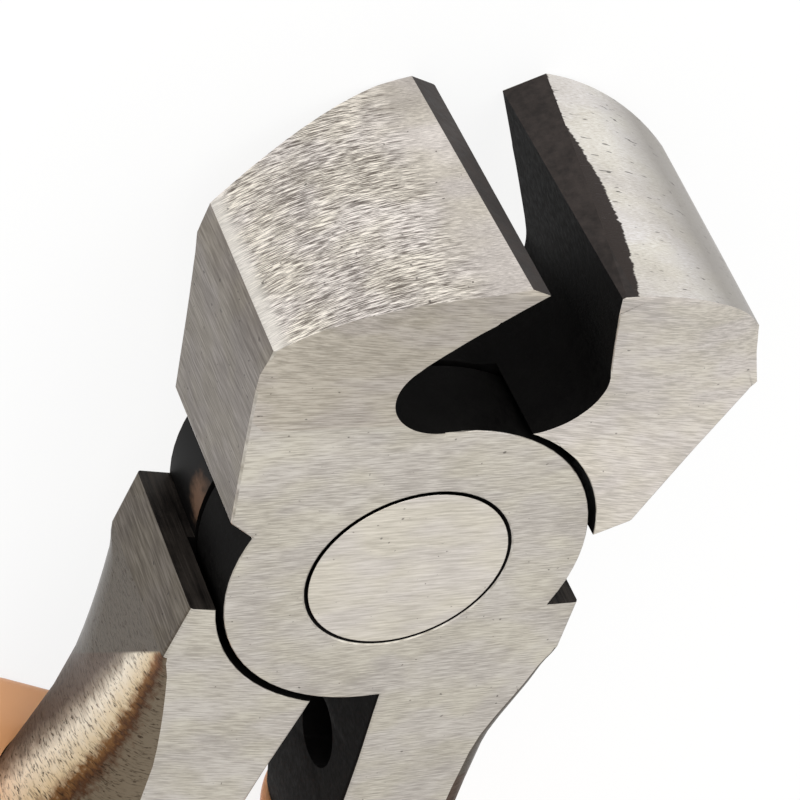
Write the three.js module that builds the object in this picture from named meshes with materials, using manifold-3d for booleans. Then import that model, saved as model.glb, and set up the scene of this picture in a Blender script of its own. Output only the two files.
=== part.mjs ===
// Watch stem cutter: a small end-cutting nipper with a lap joint and sleeved handles.
// Millimetres, +Z up, front face up. The pivot runs along Z, and +Y points to the cutting edges.
// The origin is on the pivot, in the rear face of the joint.

import * as THREE from 'three';
import { mergeVertices } from 'three/addons/utils/BufferGeometryUtils.js';
import Module from 'manifold-3d';

const wasm = await Module();
wasm.setup();

// Lap joint
const jointThickness = 7;       // across both lapped plates
const plateRadius = 7.05;       // round end of each plate
const rimClearance = 0.3;       // between a plate's rim and the recess that it turns in
const lapGap = 0.3;             // between the two plates
const restAngle = 10;           // degrees between the two levers as they lie here

// Rivet, ground flush at both ends
const rivetRadius = 3.9;        // flush face
const shankRadius = 2.6;
const countersink = 1.4;        // depth of each tapered seat
const rivetClearance = 0.15;

// Jaws
const edgeHeight = 15.2;        // cutting edges, above the pivot
const edgeGap = 0.1;            // left between the closed edges, which meet on the tool's axis
const throatRadius = 2.35;      // round hollow behind the edges
const throatSide = 0.85;        // centre of the hollow, sideways from the axis
const jawFlare = 2.1;           // each face stands out this much at the edges
const flareStart = 6.6;         // height where the flare leaves the flat joint
const flareCurve = 1.5;         // power of the flare's rise
const flareSide = 0.75;         // share of the flare lost at flareReach
const flareReach = 8.2;         // sideways distance for flareSide
const flareLeast = 0.1;         // share of the flare kept further out

// The two jaws are ground by hand, so each has its own crown, corner and bevel.
const frontJaw = {
  crownTop: [-0.73, 15.58],     // crown beside the bevel
  shoulder: [-8.2, 11.45],      // crown at the outer side
  crownRise: 0.66,              // bulge of the crown above its chord
  crownTilt: 0.8,               // degrees, lower at the tool's front face
  corner: [-8.42, 10.3],        // foot of the shoulder's chamfer
  foot: [-7.68, 3.05],          // foot of the side facet
  bevel: 21,                    // degrees, from the crown down to the edge
};
const rearJaw = {
  crownTop: [-1.45, 15.85],
  shoulder: [-7.22, 14.2],
  crownRise: 0.51,
  crownTilt: -4,
  corner: [-9.58, 10.7],
  foot: [-8.22, 3.25],
  bevel: 38,
};

// Handles: sections across the tool, from the shoulder under the joint to the tang's end.
// Their faces stay flush with the joint as far as the neck. The outer side is flat at the shoulder and
// then swells to a rounded flank: outerRound is its rounding sideways and outerRise its rounding upwards.
const handleLength = 98;        // from the pivot to the tang's end
const handleInner = 0.75;       // inner side, from the tool's axis when closed
const shoulder = {
  at: -2.6, inner: handleInner, outer: 7.9, depth: jointThickness,
  innerRound: 0.15, outerRound: 0.15, outerRise: 0.15,
};
const flatEnd = {
  at: -5.2, inner: handleInner, outer: 7.95, depth: jointThickness,
  innerRound: 0.15, outerRound: 0.2, outerRise: 0.2,
};
const runOut = {
  at: -6.2, inner: handleInner, outer: 7.95, depth: jointThickness,
  innerRound: 0.15, outerRound: 0.6, outerRise: 1.7,
};
const waist = {
  at: -11.2, inner: 0.95, outer: 7.3, depth: jointThickness,
  innerRound: 0.2, outerRound: 1.4, outerRise: 3.2,
};
const neck = {
  at: -18, inner: 1.15, outer: 7.5, depth: jointThickness,
  innerRound: 0.3, outerRound: 1.7, outerRise: 3.3,
};
const tangRoot = {
  at: -30, inner: 5.2, outer: 10.6, depth: 5.6,
  innerRound: 1.5, outerRound: 1.5, outerRise: 1.5,
};
const tangBow = {
  at: -62, inner: 11.9, outer: 16.3, depth: 5,
  innerRound: 1.5, outerRound: 1.5, outerRise: 1.5,
};
const tangTip = {
  at: -handleLength, inner: 11.2, outer: 14.8, depth: 4.4,
  innerRound: 1.5, outerRound: 1.5, outerRise: 1.5,
};
const leftWaist = { ...waist, outer: 8, outerRound: 2.1 };   // the left flank is ground less
const leftNeck = { ...neck, outer: 9.2, outerRound: 3.4 };
const rightHandle = [shoulder, flatEnd, runOut, waist, neck, tangRoot, tangBow, tangTip];
const leftHandle = [shoulder, flatEnd, runOut, leftWaist, leftNeck, tangRoot, tangBow, tangTip];
const handleStart = shoulder.at;
const betweenSections = [1, 3, 5, 3, 5, 7, 6];
const springSeatRadius = 1.6;   // blind hole in each handle's inner face
const springSeatDepth = 2.4;
const springSeatAt = -13.2;

// Dipped sleeves. The tool is dipped at a tilt, so each mouth slopes across and through its handle.
const leftSleeve = { start: -19.2, across: 0.29, through: 0.5 };
const rightSleeve = { start: -24.4, across: -0.47, through: -0.5 };
const slopeReach = 12;          // the slope fades over this length
const sleeveWall = 1.7;
const sleeveClearance = 0.3;
const sleeveParting = 0.25;     // from a sleeve's inner side to the middle when closed
const sleeveCorner = 3.6;       // rounding of the sleeve's section
const sleeveLip = 0.9;          // rounding of its mouth
const sleeveEnd = 5;            // length of its domed end
const sleeveTip = 1;            // half width left at the dome's tip
const restLevel = -jawFlare;    // bench under the head and the sleeves

const midPlane = jointThickness / 2;
const recessRadius = plateRadius + rimClearance;
const tangEnd = tangTip.at;
const throatReach = plateRadius + throatRadius;   // the hollow just touches the plate's rim
const throatHeight = Math.sqrt(throatReach ** 2 - throatSide ** 2);

// Blanks and cutters run past the steel by these amounts.
const wellPast = 30;
const headReach = 13;           // half width of the blank for the head
const blankOver = 4;            // above the cutting edges
const bevelIn = 5;              // the bevel's cutter, over the jaw
const bevelOut = 2;             // and beyond the edge
const seatPast = 1;             // the rivet hole's cutter, beyond each face
const rootSide = [-5.6, 1.4];   // the jaw runs into the plate down to here
const rootThroat = 5;           // and to this radius under the throat

// Turns a closed geometry into a solid that can be joined and cut.
function solid(geometry) {
  const bare = geometry.index ? geometry : geometry.clone();
  bare.deleteAttribute('normal');
  bare.deleteAttribute('uv');
  const merged = mergeVertices(bare, 1e-5);
  const mesh = new wasm.Mesh({
    numProp: 3,
    vertProperties: new Float32Array(merged.attributes.position.array),
    triVerts: new Uint32Array(merged.index.array),
  });
  mesh.merge();
  return new wasm.Manifold(mesh);
}

function piece(name, body, material) {
  const { numProp, vertProperties, triVerts } = body.getMesh();
  const position = new Float32Array((vertProperties.length / numProp) * 3);
  for (let i = 0; i < position.length / 3; i += 1) {
    position.set(vertProperties.subarray(i * numProp, i * numProp + 3), i * 3);
  }
  const geometry = new THREE.BufferGeometry();
  geometry.setAttribute('position', new THREE.BufferAttribute(position, 3));
  geometry.setIndex(new THREE.BufferAttribute(new Uint32Array(triVerts), 1));
  geometry.computeVertexNormals();
  const mesh = new THREE.Mesh(geometry, material);
  mesh.name = name;
  return mesh;
}

// A plan outline raised from one level to another.
function slab(shape, low, high, curveSegments = 24) {
  const options = { depth: high - low, bevelEnabled: false, curveSegments };
  const geometry = new THREE.ExtrudeGeometry(shape, options);
  geometry.translate(0, 0, low);
  return solid(geometry);
}

// A profile of [radius, level] points turned about the pivot.
function turned(profile, segments = 72) {
  const points = profile.map(([radius, level]) => new THREE.Vector2(radius, level));
  const geometry = new THREE.LatheGeometry(points, segments);
  geometry.rotateX(Math.PI / 2);
  return solid(geometry);
}

// A closed skin through rings of equal length, with a fan over each end.
function loft(rings) {
  const count = rings[0].length;
  const position = rings.flat().flatMap((point) => point.toArray());
  const index = [];
  for (let r = 0; r + 1 < rings.length; r += 1) {
    for (let i = 0; i < count; i += 1) {
      const a = r * count + i;
      const b = r * count + (i + 1) % count;
      index.push(a, b, a + count, b, b + count, a + count);
    }
  }
  const last = (rings.length - 1) * count;
  for (let i = 1; i + 1 < count; i += 1) {
    index.push(0, i + 1, i, last, last + i, last + i + 1);
  }
  const geometry = new THREE.BufferGeometry();
  geometry.setAttribute('position', new THREE.Float32BufferAttribute(position, 3));
  geometry.setIndex(index);
  return solid(geometry);
}

// A rounded rectangle across the tool, at one place along it.
function sectionRing({ at, inner, outer, depth, innerRound, outerRound, outerRise }, steps = 6) {
  const flatLeft = 0.01;
  const mostAcross = (outer - inner) / 2 - flatLeft;
  const mostUp = depth / 2 - flatLeft;
  const corners = [[1, 1], [-1, 1], [-1, -1], [1, -1]];
  return corners.flatMap(([out, up], quarter) => {
    const across = Math.min(out > 0 ? outerRound : innerRound, mostAcross);
    const rise = Math.min(out > 0 ? outerRise : innerRound, mostUp);
    const x = (out > 0 ? outer : inner) - out * across;
    const z = midPlane + up * (depth / 2 - rise);
    return places(quarter, quarter + 1, steps).map((turn) => {
      const angle = turn * Math.PI / 2;
      return new THREE.Vector3(x + across * Math.cos(angle), at, z + rise * Math.sin(angle));
    });
  });
}

// A handle's section at any place along it, eased between the sections above without overshoot.
function handleAt(sections, at) {
  const last = sections.length - 1;
  const found = sections.findIndex((section) => section.at <= at);
  const next = found < 0 ? last : Math.max(found, 1);
  const before = sections[next - 1];
  const after = sections[next];
  const span = after.at - before.at;
  const t = (at - before.at) / span;
  const rate = (key, i) => {
    const [low, high] = [sections[i], sections[i + 1]];
    return (high[key] - low[key]) / (high.at - low.at);
  };
  const slope = (key, i) => {
    const above = rate(key, Math.max(i - 1, 0));
    const below = rate(key, Math.min(i, last - 1));
    return above * below > 0 ? 2 * above * below / (above + below) : 0;
  };
  const eased = (key) => {
    const leave = slope(key, next - 1) * span * (t ** 3 - 2 * t ** 2 + t);
    const arrive = slope(key, next) * span * (t ** 3 - t ** 2);
    const share = 3 * t ** 2 - 2 * t ** 3;
    return before[key] * (1 - share) + after[key] * share + leave + arrive;
  };
  const keys = ['inner', 'outer', 'depth', 'innerRound', 'outerRound', 'outerRise'];
  return Object.fromEntries([['at', at], ...keys.map((key) => [key, eased(key)])]);
}

// The sections' own places and a few between them, from one place to the tang's end.
function stations(sections, from) {
  const all = sections.slice(1).flatMap((section, i) => {
    return places(sections[i].at, section.at, betweenSections[i]).slice(1);
  });
  return [from, ...all.filter((at) => at < from)];
}

function places(from, to, count) {
  return Array.from({ length: count + 1 }, (_, i) => from + (to - from) * i / count);
}

// The steel handle and its tang, or the bore for it in a sleeve when grown by a clearance.
function handle(sections, along, grow) {
  return loft(along.map((at) => {
    const section = handleAt(sections, Math.max(at, tangEnd));
    return sectionRing({
      at,
      inner: section.inner - grow,
      outer: section.outer + grow,
      depth: section.depth + 2 * grow,
      innerRound: section.innerRound + grow,
      outerRound: section.outerRound + grow,
      outerRise: section.outerRise + grow,
    });
  }));
}

function flareAt(x, y) {
  const rise = THREE.MathUtils.clamp((y - flareStart) / (edgeHeight - flareStart), 0, 1);
  const side = Math.max(flareLeast, 1 - flareSide * (x / flareReach) ** 2);
  return jawFlare * rise ** flareCurve * side;
}

// Everything between the head's two faces: flat at the joint and standing out towards the edges.
function headFaces() {
  const across = places(-headReach, headReach, 24);
  const along = [0, ...places(flareStart, edgeHeight, 9), edgeHeight + blankOver];
  const rings = along.map((y) => {
    const front = across.map((x) => new THREE.Vector3(x, y, jointThickness + flareAt(x, y)));
    const rear = across.map((x) => new THREE.Vector3(x, y, -flareAt(x, y)));
    return [...front, ...rear.reverse()];
  });
  return loft(rings);
}

// The ground crown: a large cylinder across the head, leaning a little to one face.
function crown(jaw) {
  const top = new THREE.Vector2(...jaw.crownTop);
  const shoulder = new THREE.Vector2(...jaw.shoulder);
  const chord = top.clone().sub(shoulder);
  const radius = (chord.lengthSq() / 4 + jaw.crownRise ** 2) / (2 * jaw.crownRise);
  const inward = new THREE.Vector2(chord.y, -chord.x).normalize();
  const middle = top.clone().add(shoulder).multiplyScalar(0.5);
  const centre = middle.addScaledVector(inward, radius - jaw.crownRise);
  const geometry = new THREE.CylinderGeometry(radius, radius, 2 * wellPast, 120);
  geometry.rotateX(Math.PI / 2);
  geometry.translate(centre.x, centre.y - top.y, 0);
  geometry.rotateX(THREE.MathUtils.degToRad(jaw.crownTilt));
  geometry.translate(0, top.y, midPlane);
  return solid(geometry);
}

// The room above the bevel beside the cutting edge.
function bevelRoom(jaw) {
  const slope = Math.tan(THREE.MathUtils.degToRad(jaw.bevel));
  const edge = -edgeGap / 2;
  const room = new THREE.Shape();
  room.moveTo(edge + bevelOut, edgeHeight - bevelOut * slope);
  room.lineTo(edge + bevelOut, wellPast);
  room.lineTo(edge - bevelIn, wellPast);
  room.lineTo(edge - bevelIn, edgeHeight + bevelIn * slope);
  return slab(room, -wellPast, wellPast);
}

// The jaw seen from the front, with its crown still uncut: side facet, undercut and throat.
function jawPlan(jaw) {
  const edge = new THREE.Vector2(-edgeGap / 2, edgeHeight);
  const throat = new THREE.Vector2(-throatSide, throatHeight);
  const toEdge = edge.clone().sub(throat);
  const tangent = toEdge.angle() + Math.acos(throatRadius / toEdge.length());
  const lean = (jaw.shoulder[0] - jaw.corner[0]) / (jaw.shoulder[1] - jaw.corner[1]);
  const blankTop = edgeHeight + blankOver;
  const plan = new THREE.Shape();
  plan.moveTo(...jaw.foot);
  plan.lineTo(...rootSide);
  plan.lineTo(throat.x * rootThroat / throatReach, throat.y * rootThroat / throatReach);
  plan.absarc(throat.x, throat.y, throatRadius, throat.angle() - Math.PI, tangent - 2 * Math.PI, true);
  plan.lineTo(edge.x, edge.y);
  plan.lineTo(edge.x, blankTop);
  plan.lineTo(jaw.shoulder[0] + lean * (blankTop - jaw.shoulder[1]), blankTop);
  plan.lineTo(...jaw.corner);
  return plan;
}

// A flat disc about the pivot.
function disc(radius, low, high) {
  return turned([[0, low], [radius, low], [radius, high], [0, high]]);
}

function rivetProfile(grow, past) {
  return [
    [0, -past],
    [rivetRadius + grow, -past],
    [rivetRadius + grow, 0],
    [shankRadius + grow, countersink],
    [shankRadius + grow, jointThickness - countersink],
    [rivetRadius + grow, jointThickness],
    [rivetRadius + grow, jointThickness + past],
    [0, jointThickness + past],
  ];
}

// One lever in its closed place: jaw to the left, plate in front, handle to the right.
function lever(jaw, sections) {
  const blank = slab(jawPlan(jaw), -wellPast, wellPast);
  const head = blank.intersect(headFaces()).intersect(crown(jaw)).subtract(bevelRoom(jaw));
  const bare = handle(sections, stations(sections, handleStart), 0);
  const plateLow = midPlane + lapGap / 2;
  const seat = new THREE.CylinderGeometry(springSeatRadius, springSeatRadius, 2 * springSeatDepth, 32);
  seat.rotateZ(Math.PI / 2);
  seat.translate(handleAt(sections, springSeatAt).inner, springSeatAt, midPlane);
  return head.add(bare)
    .subtract(disc(recessRadius, -wellPast, plateLow))
    .add(disc(plateRadius, plateLow, jointThickness))
    .subtract(turned(rivetProfile(rivetClearance, seatPast)))
    .subtract(solid(seat));
}

// A sleeve's outside: the tang's section with a wall round it, thinner where the handles nearly meet.
function sleeveRing(sections, mouth, at, inset) {
  const section = handleAt(sections, Math.max(at, tangEnd));
  const innerWall = Math.min(sleeveWall, section.inner - sleeveClearance - sleeveParting);
  const inner = section.inner - sleeveClearance - innerWall + inset;
  const outer = section.outer + sleeveClearance + sleeveWall - inset;
  const ring = sectionRing({
    at,
    inner,
    outer,
    depth: 2 * (midPlane - restLevel - inset),
    innerRound: sleeveCorner - inset,
    outerRound: sleeveCorner - inset,
    outerRise: sleeveCorner - inset,
  });
  const share = THREE.MathUtils.clamp(1 - (mouth.start - at) / slopeReach, 0, 1);
  const middle = (inner + outer) / 2;
  return ring.map(({ x, y, z }) => {
    const slope = mouth.across * (x - middle) + mouth.through * (z - midPlane);
    return new THREE.Vector3(x, y + share * slope, z);
  });
}

function sleeve(sections, mouth) {
  const quarter = places(0, Math.PI / 2, 5);
  const close = tangEnd - sleeveClearance - sleeveWall;
  const dome = close + sleeveEnd;
  const half = (tangTip.outer - tangTip.inner) / 2 + sleeveClearance + sleeveWall;
  const lip = quarter.slice(0, -1).map((a) => {
    const at = mouth.start - sleeveLip * (1 - Math.cos(a));
    return sleeveRing(sections, mouth, at, sleeveLip * (1 - Math.sin(a)));
  });
  const slopeEnd = mouth.start - slopeReach;
  const neckPart = places(mouth.start - sleeveLip, slopeEnd, 5);
  const tangPart = places(slopeEnd, dome, 10).slice(1);
  const body = [...neckPart, ...tangPart].map((at) => sleeveRing(sections, mouth, at, 0));
  const end = quarter.slice(1, -1).map((a) => {
    const at = dome - sleeveEnd * Math.sin(a);
    return sleeveRing(sections, mouth, at, (half - sleeveTip) * (1 - Math.cos(a)));
  });
  const boreEnd = tangEnd - sleeveClearance;
  const boreStart = mouth.start + slopeReach;
  const bore = handle(sections, [...stations(sections, boreStart), boreEnd], sleeveClearance);
  return loft([...lip, ...body, ...end]).subtract(bore);
}

const steel = { color: 0xb8b3a8, roughness: 0.42, metalness: 1 };
const vinyl = { color: 0xe9a25f, roughness: 0.5, metalness: 0 };

// A lever with its sleeve, turned open about the pivot.
function side(leverName, sleeveName, jaw, sections, mouth, openBy) {
  const group = new THREE.Group();
  group.rotation.z = THREE.MathUtils.degToRad(openBy);
  const half = new THREE.Group();
  half.add(piece(leverName, lever(jaw, sections), new THREE.MeshStandardMaterial(steel)));
  half.add(piece(sleeveName, sleeve(sections, mouth), new THREE.MeshStandardMaterial(vinyl)));
  group.add(half);
  return { group, half };
}

const cutter = new THREE.Group();

const front = side('front_lever', 'right_grip', frontJaw, rightHandle, rightSleeve, restAngle / 2);
front.half.add(piece('pivot_rivet', turned(rivetProfile(0, 0)), new THREE.MeshStandardMaterial(steel)));
cutter.add(front.group);

// The rear lever is the same forging turned over about the tool's axis.
const rear = side('rear_lever', 'left_grip', rearJaw, leftHandle, leftSleeve, -restAngle / 2);
rear.half.rotation.y = Math.PI;
rear.half.position.z = jointThickness;
cutter.add(rear.group);

export default cutter;
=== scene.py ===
# %% [markdown]
# # A watch stem cutter, dressed for a studio photograph
#
# The tool is a small end-cutting nipper: two steel levers lap over each other on a rivet, and each handle
# sits in a dipped vinyl sleeve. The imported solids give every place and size. This lesson adds what the eye
# needs: broken edges, ground and scaled steel, vinyl, light and a camera.

# %% Load the frame
import math

import bmesh
import bpy
import numpy as np
from mathutils import Euler, Matrix, Vector


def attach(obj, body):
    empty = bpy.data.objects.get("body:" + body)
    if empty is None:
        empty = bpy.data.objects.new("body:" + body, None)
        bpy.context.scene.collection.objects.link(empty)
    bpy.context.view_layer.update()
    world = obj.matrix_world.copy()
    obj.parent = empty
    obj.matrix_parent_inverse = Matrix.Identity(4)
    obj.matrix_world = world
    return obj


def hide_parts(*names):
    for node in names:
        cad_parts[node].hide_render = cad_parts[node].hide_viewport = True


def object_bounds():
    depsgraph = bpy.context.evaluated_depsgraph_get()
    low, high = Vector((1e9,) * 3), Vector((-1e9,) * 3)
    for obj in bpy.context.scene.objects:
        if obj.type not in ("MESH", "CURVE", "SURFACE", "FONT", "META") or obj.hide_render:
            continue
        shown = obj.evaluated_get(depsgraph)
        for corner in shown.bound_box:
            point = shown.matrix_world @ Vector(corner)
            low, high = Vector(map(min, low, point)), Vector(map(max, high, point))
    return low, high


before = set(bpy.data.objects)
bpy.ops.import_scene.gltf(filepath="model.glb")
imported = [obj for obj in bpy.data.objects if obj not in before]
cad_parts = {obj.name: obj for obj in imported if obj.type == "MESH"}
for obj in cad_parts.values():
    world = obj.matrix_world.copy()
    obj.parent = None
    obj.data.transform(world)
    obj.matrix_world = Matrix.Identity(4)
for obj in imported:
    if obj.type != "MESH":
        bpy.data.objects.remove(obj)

MM = 0.001
cad_box = [list(map(float, corner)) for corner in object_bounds()]
print("nodes", sorted(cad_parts), "box mm", np.round(np.array(cad_box) / MM, 2).tolist())

# %% [markdown]
# ## Camera
#
# The photograph looks down on the head from the jaws' side, at close range with a long lens. The view was
# worked out from the rivet's outline and the corners of the jaws, which gives three axes and a place. The
# axes go straight into the camera's matrix, because two rotation angles and a roll would say the same less
# plainly.

# %% Camera
CAMERA_PLACE = np.array([-47.977, 64.678, 67.612]) * MM
CAMERA_RIGHT = (0.88094, 0.33763, 0.33160)
CAMERA_UP = (-0.01936, 0.72583, -0.68760)
CAMERA_BACK = (-0.47284, 0.59931, 0.64595)
SENSOR_MM = 36.0
LENS_MM = 124.09

lens = bpy.data.cameras.new("studio_camera")
lens.sensor_width = SENSOR_MM
lens.lens = LENS_MM
lens.clip_start = 5 * MM
camera = bpy.data.objects.new("studio_camera", lens)
bpy.context.collection.objects.link(camera)
axes = Matrix((CAMERA_RIGHT, CAMERA_UP, CAMERA_BACK)).transposed().to_4x4()
camera.matrix_world = Matrix.Translation(Vector(CAMERA_PLACE)) @ axes
bpy.context.scene.camera = camera
print("camera", np.round(CAMERA_PLACE / MM, 1), "mm from the pivot")

# %% [markdown]
# ## Helpers for materials
#
# Colours are written as sRGB hex values, as a colour picker shows them, and turned to linear light once.
# One function feeds a node's inputs and one adds a node, so that a material reads as a list of steps.

# %% Material helpers


def linear(hex_colour):
    """sRGB hex to linear RGBA: below 0.04045 divide by 12.92, above it ((c + 0.055) / 1.055) to the
    power 2.4."""
    c = np.array([int(hex_colour[i:i + 2], 16) for i in (1, 3, 5)]) / 255
    value = np.where(c <= 0.04045, c / 12.92, ((c + 0.055) / 1.055) ** 2.4)
    return (*value.tolist(), 1.0)


def feed(tree, node, **inputs):
    """Gives a node its inputs. A (node, socket) pair is linked, and any other value is set. A name such as _2
    is the input's number, because a Mix node has several inputs of one name."""
    for key, value in inputs.items():
        socket = node.inputs[int(key[1:])] if key[0] == "_" else node.inputs[key.replace("_", " ")]
        if isinstance(value, tuple) and isinstance(value[0], bpy.types.Node):
            tree.links.new(value[0].outputs[value[1]], socket)
        else:
            socket.default_value = value


def add(tree, kind, settings=None, **inputs):
    """Adds one node with its settings, and feeds its inputs."""
    node = tree.nodes.new(kind)
    for key, value in (settings or {}).items():
        setattr(node, key, value)
    feed(tree, node, **inputs)
    return node


def start(name, **shader):
    """A new material with its node tree and its Principled shader."""
    material = bpy.data.materials.new(name)
    material.use_nodes = True
    tree = material.node_tree
    principled = tree.nodes["Principled BSDF"]
    feed(tree, principled, **shader)
    return material, tree, principled


print("helpers ready")

# %% [markdown]
# ## The lever's own frame
#
# The two levers are one forging, and the rear one is turned over. Grinding marks and heat tints belong to
# the forging, so patterns are laid out in the lever's closed place: cutting edge up, outer side of the
# handle to the right. A Mapping node turns a material into that frame, and the same numbers do it for arrays.

# %% Own frame
JOINT_THICKNESS = 7.0
REST_TURN = math.radians(5)     # each lever is turned this far open
OWN_TURN = {"front": (0.0, 0.0, -REST_TURN), "rear": (0.0, math.pi, -REST_TURN)}
OWN_LIFT = {"front": 0.0, "rear": JOINT_THICKNESS}


def own_matrix(side):
    """The rotation from the resting place to the lever's own frame, as rows."""
    return np.array(Euler(OWN_TURN[side]).to_matrix())


def to_own(points_mm, side):
    """Resting place to own frame: turn back about the pivot, turn over, lift."""
    return points_mm @ own_matrix(side).T + (0, 0, OWN_LIFT[side])


def from_own(points_mm, side):
    """Own frame to resting place: the same steps backwards."""
    return (points_mm - (0, 0, OWN_LIFT[side])) @ own_matrix(side)


def own_place(tree, side):
    """A Mapping node that gives a material the lever's own frame, in millimetres."""
    coords = add(tree, "ShaderNodeTexCoord")
    return add(tree, "ShaderNodeMapping", {"vector_type": "POINT"}, Vector=(coords, "Object"),
               Scale=(1 / MM,) * 3, Rotation=OWN_TURN[side], Location=(0, 0, OWN_LIFT[side]))


print("own frames ready")

# %% [markdown]
# ## Ground steel
#
# The flat faces of the forging are ground on a belt, across the lever, and the crowns on a coarser wheel.
# That leaves parallel scratches and here and there a pit from the forging that the grit did not reach.
# Stretched noise gives scratches without a repeat: each noise cell is as long and as wide as a scratch. The
# scratches change the colour and the roughness a little, and a bump lets them catch the light. A fine belt
# leaves scratches of about 0.02 mm, which is less than a pixel here, so they are drawn wider than that.

# %% Ground steel
OFF_THE_LEVER = (90.0, 100.0)   # own x places that no face reaches
PIT_COLOUR, PIT_SOFTNESS = "#3d3833", 0.045
SHALLOW_PITS = (0.6, 0.24, 0.24, 0.745)
FINE_SHARE = 0.45               # size of the finer scratches to the coarse ones


def strokes(tree, place, size_mm, detail):
    """Noise whose cells have the given size in millimetres along the three own axes."""
    cells = add(tree, "ShaderNodeMapping", {"vector_type": "POINT"}, Vector=(place, "Vector"),
                Scale=tuple(1 / size for size in size_mm))
    return add(tree, "ShaderNodeTexNoise", Vector=(cells, "Vector"), Scale=1.0, Detail=detail, Roughness=0.6)


def ramp(tree, source, stops):
    """A colour ramp over a node's factor, from (position, sRGB hex) stops."""
    node = add(tree, "ShaderNodeValToRGB", Fac=source)
    while len(node.color_ramp.elements) < len(stops):
        node.color_ramp.elements.new(0.5)
    for element, (position, colour) in zip(node.color_ramp.elements, stops):
        element.position = position
        element.color = linear(colour)
    return node


def ground_steel(name, side, tones, scratch_mm, rough, depth_um, pits=SHALLOW_PITS, calm=OFF_THE_LEVER,
                 band=(*OFF_THE_LEVER, 0.0, "#ffffff"), spread=0.14, slant=0.0, cloudy=0.25):
    """Belt-ground steel. Tones run from the dark scratches to the light ones, crisper with a smaller spread.
    Between the two own x places of calm, the scratches fade to a finer, lighter finish. A band gives two own
    x places, a share and a colour of painted light that the metal takes on between them. Pits give their
    darkness, their length and depth in millimetres, and the noise level above which they lie. Slant turns the
    scratches about own y, in radians, and cloudy is the share of slow clouds among them."""
    material, tree, shader = start(name, Metallic=1.0)
    place = own_place(tree, side)
    turned = add(tree, "ShaderNodeMapping", {"vector_type": "POINT"}, Vector=(place, "Vector"),
                 Rotation=(0.0, slant, 0.0))
    scratches = strokes(tree, turned, scratch_mm, 3.0)
    fine = strokes(tree, turned, [size * FINE_SHARE for size in scratch_mm], 2.0)
    quiet = add(tree, "ShaderNodeMapRange", Value=(fine, "Fac"), To_Min=0.38, To_Max=0.66)
    own = add(tree, "ShaderNodeSeparateXYZ", Vector=(place, "Vector"))
    fade = add(tree, "ShaderNodeMapRange", Value=(own, "X"), From_Min=calm[0], From_Max=calm[1])
    grain = add(tree, "ShaderNodeMix", {"data_type": "FLOAT"}, _0=(fade, "Result"), _2=(scratches, "Fac"),
                _3=(quiet, "Result"))
    cloud = strokes(tree, place, (5.0, 3.0, 3.0), 2.0)
    both = add(tree, "ShaderNodeMix", {"data_type": "FLOAT"}, _0=cloudy, _2=(grain, 0), _3=(cloud, "Fac"))
    tone = ramp(tree, (both, 0), list(zip((0.5 - spread, 0.5, 0.5 + spread), tones)))
    warmth = strokes(tree, place, (2.6, 1.7, 1.7), 1.0)
    hue = ramp(tree, (warmth, "Fac"), [(0.4, "#fdfbfc"), (0.6, "#fffdf8")])
    tinted = add(tree, "ShaderNodeMix", {"data_type": "RGBA", "blend_type": "MULTIPLY"}, _0=1.0,
                 _6=(tone, "Color"), _7=(hue, "Color"))
    pit_share, pit_long, pit_deep, pit_from = pits
    dots = strokes(tree, place, (pit_long, pit_long, pit_deep), 1.0)
    pit = add(tree, "ShaderNodeMapRange", Value=(dots, "Fac"), From_Min=pit_from,
              From_Max=pit_from + PIT_SOFTNESS, To_Max=pit_share)
    band_from, band_to, band_share, band_colour = band
    # The band is painted light laid over the metal.
    reach = add(tree, "ShaderNodeMapRange", Value=(own, "X"), From_Min=band_from, From_Max=band_to,
                To_Max=band_share)
    banded = add(tree, "ShaderNodeMix", {"data_type": "RGBA"}, _0=(reach, "Result"), _6=(tinted, 2),
                 _7=linear(band_colour))
    colour = add(tree, "ShaderNodeMix", {"data_type": "RGBA"}, _0=(pit, "Result"), _6=(banded, 2),
                 _7=linear(PIT_COLOUR))
    gloss = add(tree, "ShaderNodeMapRange", Value=(grain, 0), From_Min=0.3, From_Max=0.7,
                To_Min=rough + 0.08, To_Max=rough - 0.06)
    height = add(tree, "ShaderNodeMath", {"operation": "SUBTRACT"}, _0=(grain, 0), _1=(pit, "Result"))
    bump = add(tree, "ShaderNodeBump", Strength=0.7, Distance=depth_um * 1e-6, Height=(height, "Value"))
    feed(tree, shader, Base_Color=(colour, 2), Roughness=(gloss, "Result"), Normal=(bump, "Normal"))
    return material


print("ground finish ready")

# %% [markdown]
# ## Scale and blackened cuts
#
# Where no wheel reached, the forging keeps its black scale: in the throat, round the joint and in the
# spring seat. The bevels beside the edges are dark too, but show a little brown-grey metal. The shoulder
# under the joint is a sawn cut with its saw lines left in, and its near black is painted shade under the
# joint. Scale is an oxide, so it could be a plain black, but two noises in near tones keep it from looking
# like a hole.

# %% Dark finishes


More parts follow.
